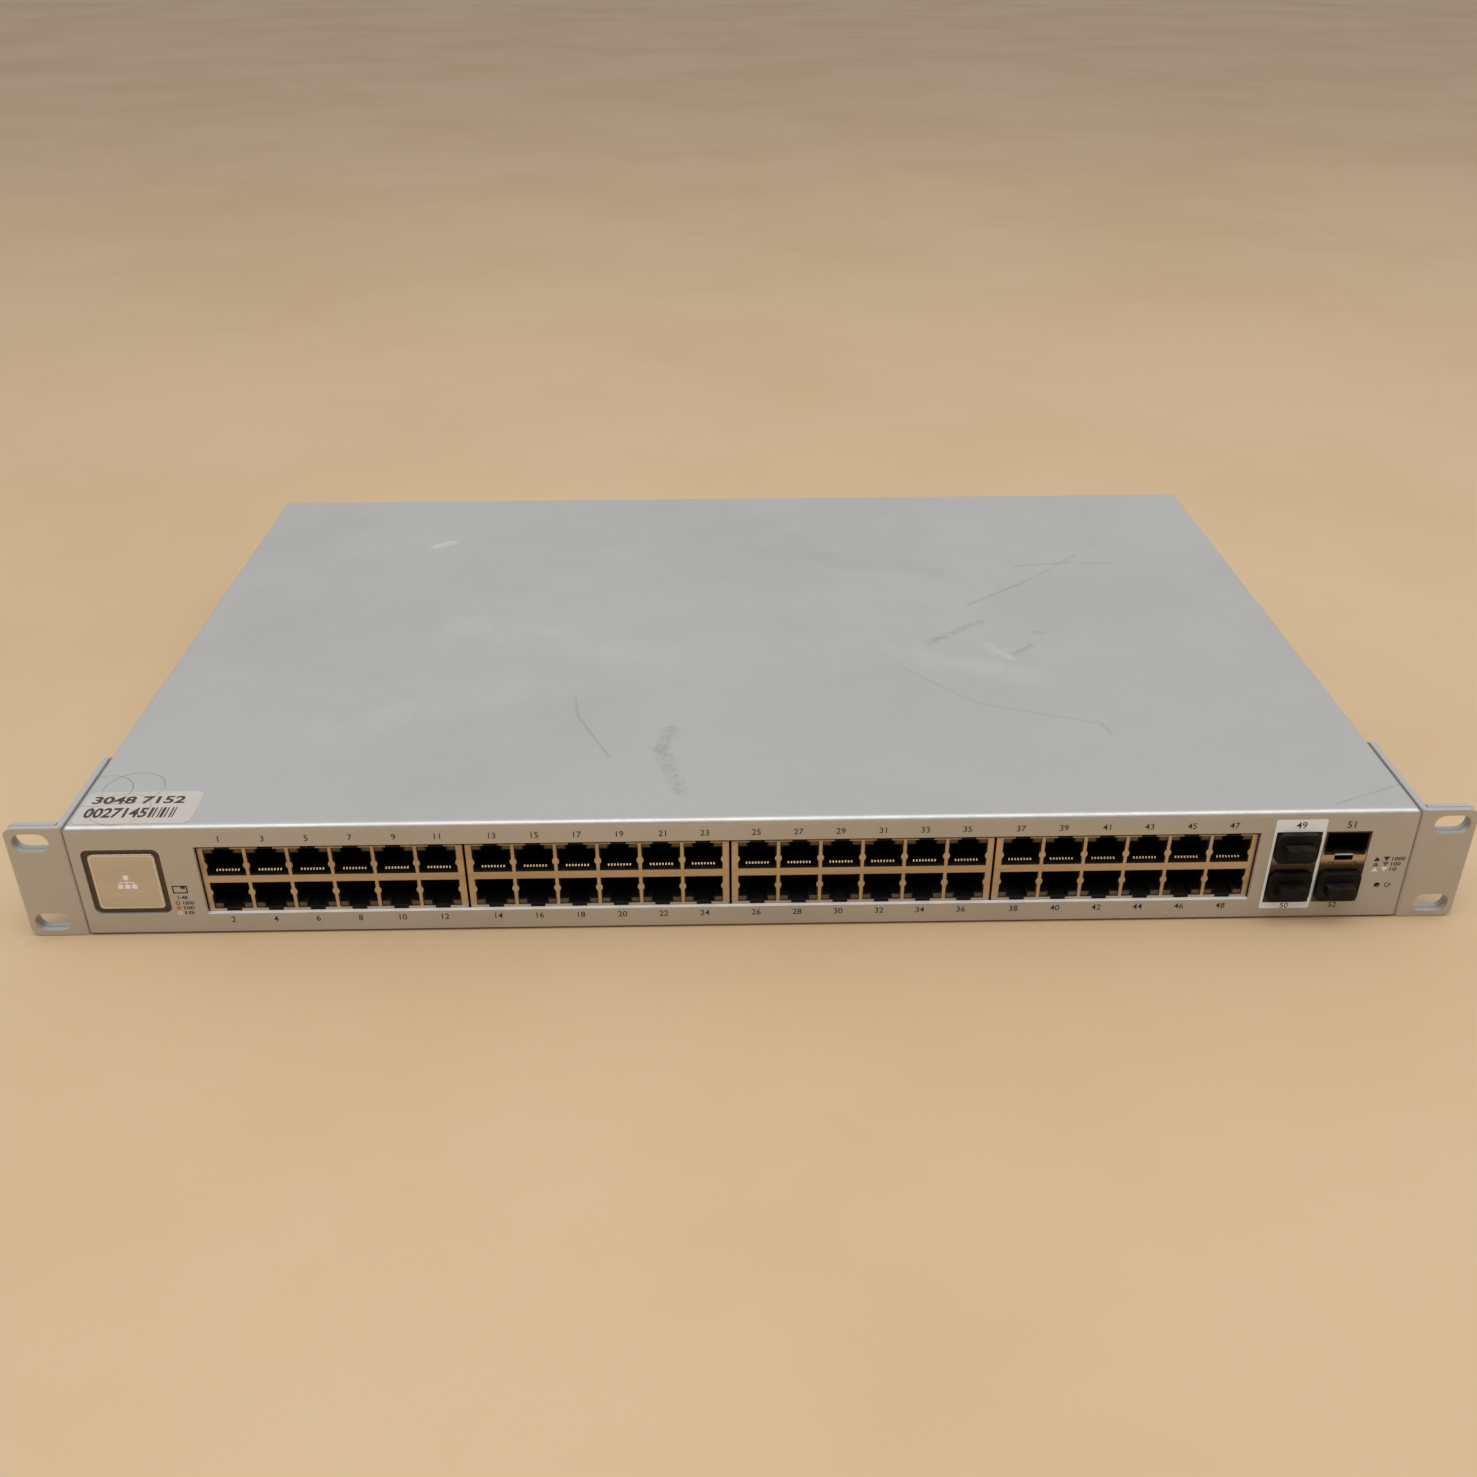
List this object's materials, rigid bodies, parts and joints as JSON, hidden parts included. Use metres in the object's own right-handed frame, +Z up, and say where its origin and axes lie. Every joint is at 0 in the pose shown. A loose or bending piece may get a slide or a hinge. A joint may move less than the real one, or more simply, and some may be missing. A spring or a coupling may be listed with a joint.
{
  "type": "rackmount network switch",
  "caption": "One-unit rack switch: sheet-metal case with rack ears, four blocks of stacked network jacks, stacked uplink cages with dust plugs, rear inlet and fans.",
  "frame": {"origin": "middle of the case's underside, on the surface that it stands on", "axes": "+X along the front to the uplink end (right, seen from the front), +Z up, so the front fascia faces -Y"},
  "size_m": [0.4826, 0.2996, 0.0431],
  "materials": {
    "silver_paint": "satin silver-grey paint",
    "plate_metal": "fine satin",
    "smoked_plastic": "dark translucent look",
    "label_film": "printed label",
    "nickel_plate": "bright nickel-plated sheet",
    "black_plastic": "fine texture",
    "gold_plate": "gold flash",
    "clear_plastic": "frosted light guide",
    "black_rubber": "matt",
    "board_laminate": "green solder mask",
    "brass_standoff": "turned",
    "chip_epoxy": "moulded",
    "ferrite": "sintered",
    "winding_tape": "yellow polyester tape",
    "bare_aluminium": "extruded",
    "can_sleeve": "shrunk sleeve",
    "white_plastic": "moulded",
    "insulating_film": "thin film",
    "wire_sleeve": "soft sleeve",
    "screw_steel": "zinc-plated"
  },
  "bodies": {
    "chassis": {"asset_sticker": "label_film", "board_capacitors": "can_sleeve", "board_chips": "chip_epoxy", "board_inductors": "ferrite", "board_screws": "screw_steel", "board_sockets": "white_plastic", "board_standoffs": "brass_standoff", "bulk_capacitors": "can_sleeve", "chassis_tray": "silver_paint", "cover_screws": "screw_steel", "ear_screws": "screw_steel", "earth_screw": "brass_standoff", "fan_frame_1": "black_plastic", "fan_frame_2": "black_plastic", "fan_leads": "wire_sleeve", "fan_screws": "screw_steel", "filter_choke": "ferrite", "inlet_housing": "black_plastic", "inlet_pins": "nickel_plate", "inlet_screws": "screw_steel", "inlet_wires": "wire_sleeve", "insulating_sheet": "insulating_film", "jack_contacts": "gold_plate", "jack_housing_1": "black_plastic", "jack_housing_2": "black_plastic", "jack_housing_3": "black_plastic", "jack_housing_4": "black_plastic", "jack_led_windows": "clear_plastic", "jack_shield_1": "nickel_plate", "jack_shield_2": "nickel_plate", "jack_shield_3": "nickel_plate", "jack_shield_4": "nickel_plate", "line_transformers": "chip_epoxy", "logo_plate": "plate_metal", "main_board": "board_laminate", "output_capacitors": "can_sleeve", "power_transistors": "chip_epoxy", "rack_ear_left": "silver_paint", "rack_ear_right": "silver_paint", "reset_switch_body": "black_plastic", "status_light_ring": "smoked_plastic", "supply_board": "board_laminate", "supply_harness": "wire_sleeve", "supply_heatsinks": "bare_aluminium", "supply_standoffs": "brass_standoff", "switch_chip": "chip_epoxy", "switch_heatsink": "bare_aluminium", "top_cover": "silver_paint", "transformer_core": "ferrite", "transformer_winding": "winding_tape", "uplink_cage_1": "nickel_plate", "uplink_cage_2": "nickel_plate", "uplink_light_pipes": "clear_plastic"},
    "dust_plug_1": {"dust_plug_1": "black_rubber"},
    "dust_plug_2": {"dust_plug_2": "black_rubber"},
    "dust_plug_3": {"dust_plug_3": "black_rubber"},
    "reset_button": {"reset_button": "black_plastic"},
    "fan_rotor_1": {"fan_rotor_1": "black_plastic"},
    "fan_rotor_2": {"fan_rotor_2": "black_plastic"}
  },
  "joints": [
    {"name": "dust_plug_1_pull", "type": "slide", "parent": "chassis", "child": "dust_plug_1", "axis": [0, -1, 0], "range_m": [0, 0.03]},
    {"name": "dust_plug_2_pull", "type": "slide", "parent": "chassis", "child": "dust_plug_2", "axis": [0, -1, 0], "range_m": [0, 0.03]},
    {"name": "dust_plug_3_pull", "type": "slide", "parent": "chassis", "child": "dust_plug_3", "axis": [0, -1, 0], "range_m": [0, 0.03]},
    {"name": "reset_press", "type": "slide", "parent": "chassis", "child": "reset_button", "axis": [0, 1, 0], "range_m": [0, 0.0005], "stiffness_N_per_m": 1500},
    {"name": "fan_1_spin", "type": "hinge", "parent": "chassis", "child": "fan_rotor_1", "pos_m": [0.096, 0.1334, 0.0214], "axis": [0, 1, 0], "continuous": true},
    {"name": "fan_2_spin", "type": "hinge", "parent": "chassis", "child": "fan_rotor_2", "pos_m": [0.168, 0.1334, 0.0214], "axis": [0, 1, 0], "continuous": true}
  ]
}
